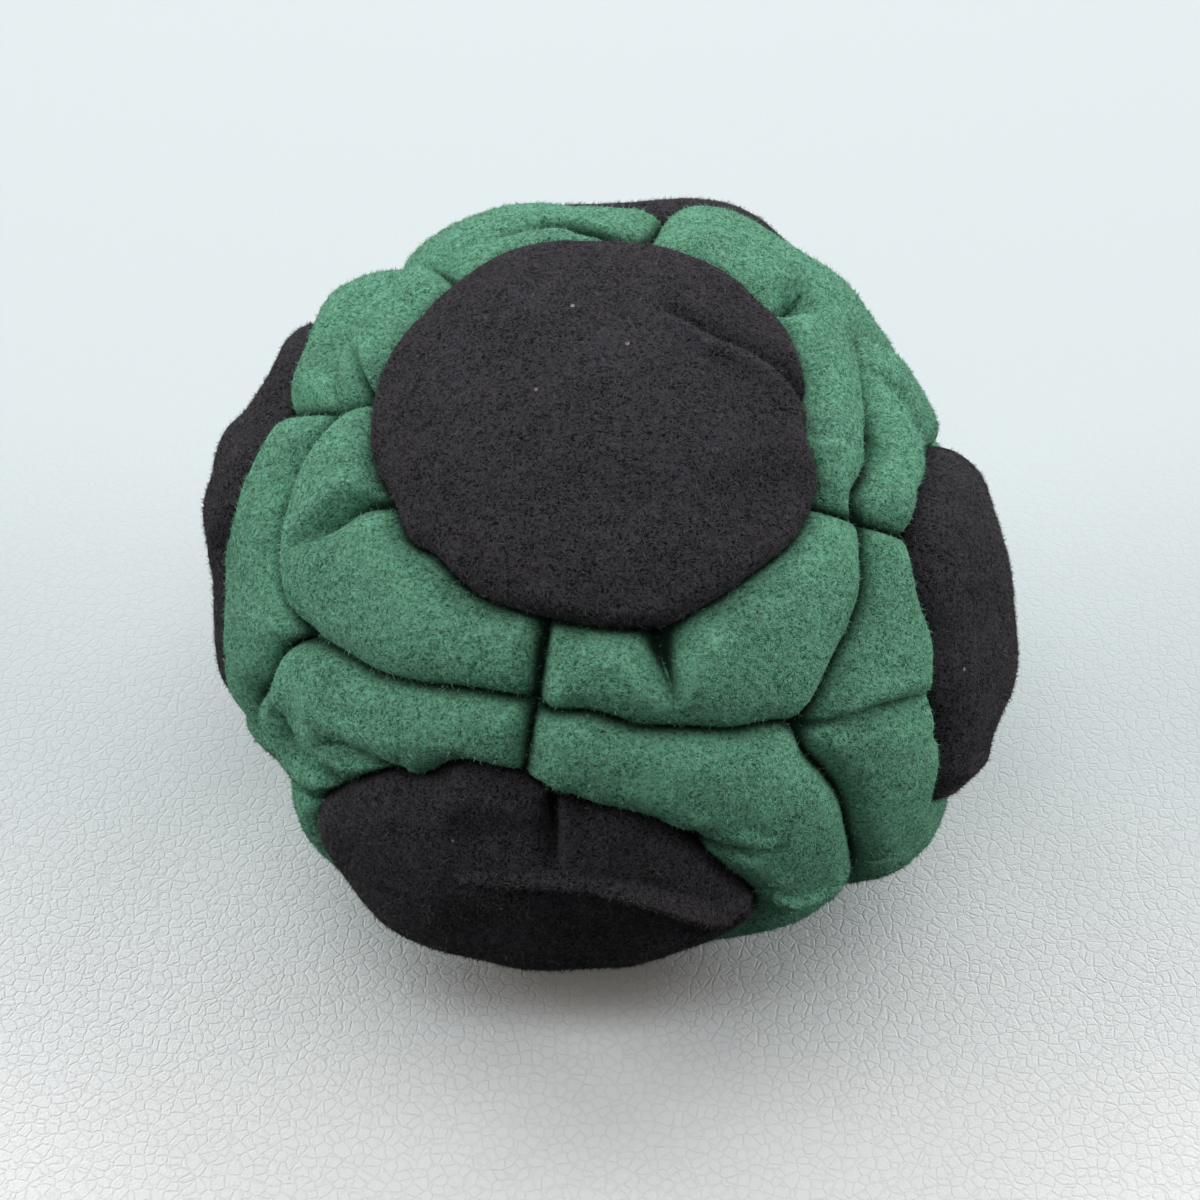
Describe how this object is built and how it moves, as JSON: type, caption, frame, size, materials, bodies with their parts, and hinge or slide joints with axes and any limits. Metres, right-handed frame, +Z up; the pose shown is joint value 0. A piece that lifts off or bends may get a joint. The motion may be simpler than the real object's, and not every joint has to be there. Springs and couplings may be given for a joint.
{
  "type": "footbag",
  "caption": "Round sand-filled footbag sewn from black suede discs and green branching suede panels, slumped a little on a flattened underside.",
  "frame": {"origin": "middle of the flattened underside, on the surface that the bag rests on", "axes": "+Z up; +X to the right and +Y away, as the bag is seen in its picture"},
  "size_m": [0.0531, 0.0534, 0.0419],
  "materials": {
    "black_suede": "brushed synthetic suede, matte nap",
    "green_suede": "brushed synthetic suede, matte nap",
    "seam_thread": "twisted polyester sewing thread",
    "liner_cloth": "plain cotton cloth",
    "dry_sand": "loose dry sand, drawn as one body"
  },
  "bodies": {
    "root": {"top_disc": "black_suede", "bottom_disc": "black_suede", "front_disc": "black_suede", "back_disc": "black_suede", "left_disc": "black_suede", "right_disc": "black_suede", "top_front_left_panel": "green_suede", "top_front_right_panel": "green_suede", "top_back_left_panel": "green_suede", "top_back_right_panel": "green_suede", "bottom_front_left_panel": "green_suede", "bottom_front_right_panel": "green_suede", "bottom_back_left_panel": "green_suede", "bottom_back_right_panel": "green_suede", "top_disc_thread": "seam_thread", "bottom_disc_thread": "seam_thread", "front_disc_thread": "seam_thread", "back_disc_thread": "seam_thread", "left_disc_thread": "seam_thread", "right_disc_thread": "seam_thread", "top_front_seam_thread": "seam_thread", "top_back_seam_thread": "seam_thread", "top_left_seam_thread": "seam_thread", "top_right_seam_thread": "seam_thread", "bottom_front_seam_thread": "seam_thread", "bottom_back_seam_thread": "seam_thread", "bottom_left_seam_thread": "seam_thread", "bottom_right_seam_thread": "seam_thread", "front_left_seam_thread": "seam_thread", "front_right_seam_thread": "seam_thread", "back_left_seam_thread": "seam_thread", "back_right_seam_thread": "seam_thread", "inner_liner": "liner_cloth", "sand_fill": "dry_sand"}
  },
  "joints": []
}
